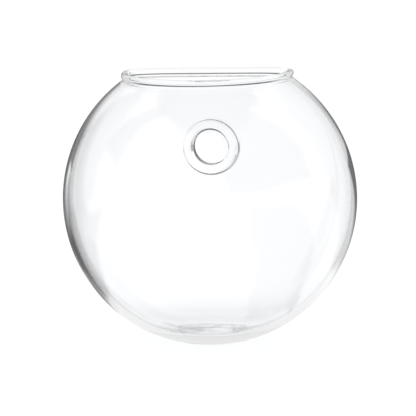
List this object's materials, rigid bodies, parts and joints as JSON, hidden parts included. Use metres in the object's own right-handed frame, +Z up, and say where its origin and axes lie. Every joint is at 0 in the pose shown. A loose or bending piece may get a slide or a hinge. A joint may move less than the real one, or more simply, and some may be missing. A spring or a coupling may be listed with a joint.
{
  "type": "propagation vase",
  "caption": "Flat-backed ball vase of clear blown glass with a beaded D-shaped mouth, for rooting cuttings on a shelf or hung on a wall.",
  "frame": {"origin": "on the surface that the vase stands on, under the middle of its width and depth", "axes": "+X across the vase to the right as seen from the front, +Y out through the flat back towards the wall, +Z up through the mouth"},
  "size_m": [0.15, 0.09, 0.1381],
  "materials": {
    "blown_glass": "clear blown glass, gloss, with faint waves and a few seeds",
    "fire_polished_glass": "clear glass, fire polished to a full round",
    "ground_glass": "clear glass, ground and polished flat below"
  },
  "bodies": {
    "root": {"front_bowl": "blown_glass", "back_wall": "blown_glass", "base_pad": "ground_glass", "mouth_rim": "fire_polished_glass", "hanging_collar": "fire_polished_glass"}
  },
  "joints": []
}
